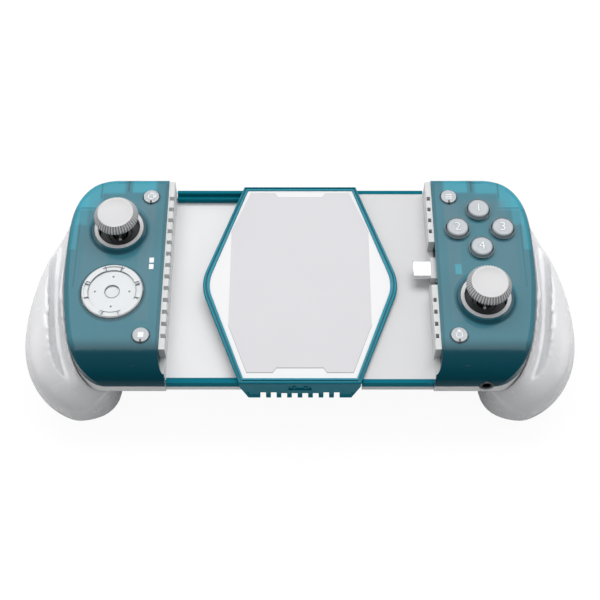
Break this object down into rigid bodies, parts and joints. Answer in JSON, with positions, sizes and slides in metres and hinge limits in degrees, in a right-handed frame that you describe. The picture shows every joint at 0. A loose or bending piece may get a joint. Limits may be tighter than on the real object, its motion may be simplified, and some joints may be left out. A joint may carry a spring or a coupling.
{
  "type": "mobile game controller",
  "caption": "Telescopic game controller for a telephone: halves on a sprung rack-driven tray, thumb sticks, a direction disc, buttons, triggers and a hinged USB-C plug.",
  "frame": {"origin": "middle of the rest plate's upper face, where the back of the telephone lies", "axes": "+X towards the half with the plug, +Y away from the player, +Z out of the face with the sticks"},
  "size_m": [0.2256, 0.1033, 0.0508],
  "materials": {
    "teal_shell": "gloss",
    "teal_rail": "satin",
    "clear_white": "satin",
    "white_plastic": "satin",
    "grey_film": "matte",
    "steel": "satin",
    "plug_steel": "polished",
    "board": "matte",
    "switch": "matte",
    "clear_button": "gloss",
    "cap_rubber": "satin",
    "window_white": "gloss",
    "mechanism": "matte",
    "gear_white": "matte",
    "jack_black": "matte",
    "pad_rubber": "matte"
  },
  "bodies": {
    "bridge": {"bridge_frame": "teal_shell", "bridge_plate": "white_plastic", "bridge_pad": "grey_film", "bridge_back": "teal_rail", "bridge_screws": "steel", "return_springs": "steel"},
    "pinion": {"sync_pinion": "gear_white"},
    "left_half": {"left_tray": "white_plastic", "left_tray_rails": "teal_rail", "left_rack": "gear_white", "left_front_shell": "teal_shell", "left_back_shell": "clear_white", "left_grip": "clear_white", "left_phone_pad": "pad_rubber", "left_screws": "steel", "left_circuit_board": "board", "left_button_switches": "switch", "left_stick_housing": "mechanism", "left_stick_ring": "white_plastic", "left_pivot_pins": "steel", "left_light_windows": "window_white", "dpad_cradle": "mechanism"},
    "left_carriage": {"left_stick_carriage": "mechanism"},
    "left_yoke": {"left_stick_yoke": "gear_white"},
    "left_stick": {"left_stick_post": "steel", "left_stick_cap": "cap_rubber"},
    "left_bumper": {"left_bumper": "clear_white"},
    "left_trigger": {"left_trigger": "clear_white"},
    "right_half": {"right_tray": "white_plastic", "right_tray_rails": "teal_rail", "right_rack": "gear_white", "right_front_shell": "teal_shell", "right_back_shell": "clear_white", "right_grip": "clear_white", "right_phone_pad": "pad_rubber", "right_screws": "steel", "right_circuit_board": "board", "right_button_switches": "switch", "right_stick_housing": "mechanism", "right_stick_ring": "white_plastic", "right_pivot_pins": "steel", "audio_jack": "jack_black"},
    "right_carriage": {"right_stick_carriage": "mechanism"},
    "right_yoke": {"right_stick_yoke": "gear_white"},
    "right_stick": {"right_stick_post": "steel", "right_stick_cap": "cap_rubber"},
    "right_bumper": {"right_bumper": "clear_white"},
    "right_trigger": {"right_trigger": "clear_white"},
    "dpad_rocker": {"dpad_rocker": "mechanism"},
    "dpad": {"dpad_disc": "clear_button"},
    "view_button": {"view_button": "clear_button"},
    "capture_button": {"capture_button": "clear_button"},
    "menu_button": {"menu_button": "clear_button"},
    "home_button": {"home_button": "clear_button"},
    "face_button_1": {"face_button_1": "clear_button"},
    "face_button_2": {"face_button_2": "clear_button"},
    "face_button_3": {"face_button_3": "clear_button"},
    "face_button_4": {"face_button_4": "clear_button"},
    "usb_plug": {"usb_plug": "plug_steel", "usb_plug_holder": "white_plastic"}
  },
  "joints": [
    {"name": "left_slide", "type": "slide", "parent": "bridge", "child": "left_half", "axis": [-1, 0, 0], "range_m": [0, 0.034], "stiffness_N_per_m": 150, "springref_m": -0.02, "deforming": ["return_springs"]},
    {"name": "right_slide", "type": "slide", "parent": "bridge", "child": "right_half", "axis": [1, 0, 0], "range_m": [0, 0.034]},
    {"name": "pinion_spin", "type": "hinge", "parent": "bridge", "child": "pinion", "pos_m": [0, 0, -0.00465], "axis": [0, 0, -1], "range_deg": [0, 420]},
    {"name": "left_stick_click", "type": "slide", "parent": "left_half", "child": "left_carriage", "axis": [0, 0, -1], "range_m": [0, 0.0004], "stiffness_N_per_m": 1500, "springref_m": -0.0001},
    {"name": "left_stick_tilt_x", "type": "hinge", "parent": "left_carriage", "child": "left_yoke", "pos_m": [-0.0757, 0.0205, 0.003], "axis": [1, 0, 0], "range_deg": [-17, 17], "stiffness_Nm_per_rad": 0.03},
    {"name": "left_stick_tilt_y", "type": "hinge", "parent": "left_yoke", "child": "left_stick", "pos_m": [-0.0757, 0.0205, 0.003], "axis": [0, 1, 0], "range_deg": [-17, 17], "stiffness_Nm_per_rad": 0.03},
    {"name": "left_bumper_press", "type": "hinge", "parent": "left_half", "child": "left_bumper", "pos_m": [-0.0663, 0.0426, 0.0013], "axis": [0, 0, 1], "range_deg": [0, 2.5], "stiffness_Nm_per_rad": 0.6, "springref_deg": -1.15},
    {"name": "left_trigger_pull", "type": "hinge", "parent": "left_half", "child": "left_trigger", "pos_m": [-0.0755, 0.0335, -0.0066], "axis": [-1, 0, 0], "range_deg": [0, 11], "stiffness_Nm_per_rad": 0.05, "springref_deg": -8.59},
    {"name": "right_stick_click", "type": "slide", "parent": "right_half", "child": "right_carriage", "axis": [0, 0, -1], "range_m": [0, 0.0004], "stiffness_N_per_m": 1500, "springref_m": -0.0001},
    {"name": "right_stick_tilt_x", "type": "hinge", "parent": "right_carriage", "child": "right_yoke", "pos_m": [0.0752, -0.0126, 0.003], "axis": [1, 0, 0], "range_deg": [-17, 17], "stiffness_Nm_per_rad": 0.03},
    {"name": "right_stick_tilt_y", "type": "hinge", "parent": "right_yoke", "child": "right_stick", "pos_m": [0.0752, -0.0126, 0.003], "axis": [0, 1, 0], "range_deg": [-17, 17], "stiffness_Nm_per_rad": 0.03},
    {"name": "right_bumper_press", "type": "hinge", "parent": "right_half", "child": "right_bumper", "pos_m": [0.0663, 0.0426, 0.0013], "axis": [0, 0, -1], "range_deg": [0, 2.5], "stiffness_Nm_per_rad": 0.6, "springref_deg": -1.15},
    {"name": "right_trigger_pull", "type": "hinge", "parent": "right_half", "child": "right_trigger", "pos_m": [0.0755, 0.0335, -0.0066], "axis": [-1, 0, 0], "range_deg": [0, 11], "stiffness_Nm_per_rad": 0.05, "springref_deg": -8.59},
    {"name": "dpad_tilt_x", "type": "hinge", "parent": "left_half", "child": "dpad_rocker", "pos_m": [-0.0763, -0.0099, 0.0026], "axis": [1, 0, 0], "range_deg": [-2, 2], "stiffness_Nm_per_rad": 0.3},
    {"name": "dpad_tilt_y", "type": "hinge", "parent": "dpad_rocker", "child": "dpad", "pos_m": [-0.0763, -0.0099, 0.0026], "axis": [0, 1, 0], "range_deg": [-2, 2], "stiffness_Nm_per_rad": 0.3},
    {"name": "view_button_press", "type": "slide", "parent": "left_half", "child": "view_button", "axis": [0, 0, -1], "range_m": [0, 0.0005], "stiffness_N_per_m": 400, "springref_m": -0.0003},
    {"name": "capture_button_press", "type": "slide", "parent": "left_half", "child": "capture_button", "axis": [0, 0, -1], "range_m": [0, 0.0005], "stiffness_N_per_m": 400, "springref_m": -0.0003},
    {"name": "menu_button_press", "type": "slide", "parent": "right_half", "child": "menu_button", "axis": [0, 0, -1], "range_m": [0, 0.0005], "stiffness_N_per_m": 400, "springref_m": -0.0003},
    {"name": "home_button_press", "type": "slide", "parent": "right_half", "child": "home_button", "axis": [0, 0, -1], "range_m": [0, 0.0005], "stiffness_N_per_m": 400, "springref_m": -0.0003},
    {"name": "face_button_1_press", "type": "slide", "parent": "right_half", "child": "face_button_1", "axis": [0, 0, -1], "range_m": [0, 0.0007], "stiffness_N_per_m": 400, "springref_m": -0.0003},
    {"name": "face_button_2_press", "type": "slide", "parent": "right_half", "child": "face_button_2", "axis": [0, 0, -1], "range_m": [0, 0.0007], "stiffness_N_per_m": 400, "springref_m": -0.0003},
    {"name": "face_button_3_press", "type": "slide", "parent": "right_half", "child": "face_button_3", "axis": [0, 0, -1], "range_m": [0, 0.0007], "stiffness_N_per_m": 400, "springref_m": -0.0003},
    {"name": "face_button_4_press", "type": "slide", "parent": "right_half", "child": "face_button_4", "axis": [0, 0, -1], "range_m": [0, 0.0007], "stiffness_N_per_m": 400, "springref_m": -0.0003},
    {"name": "usb_plug_tilt", "type": "hinge", "parent": "right_half", "child": "usb_plug", "pos_m": [0.058, 0.00305, 0.0032], "axis": [0, 1, 0], "range_deg": [0, 15]}
  ],
  "couplings": [
    {"joint": "right_slide", "follows": "left_slide", "ratio": 1},
    {"joint": "pinion_spin", "follows": "left_slide", "rad_per_m": 208.33}
  ]
}
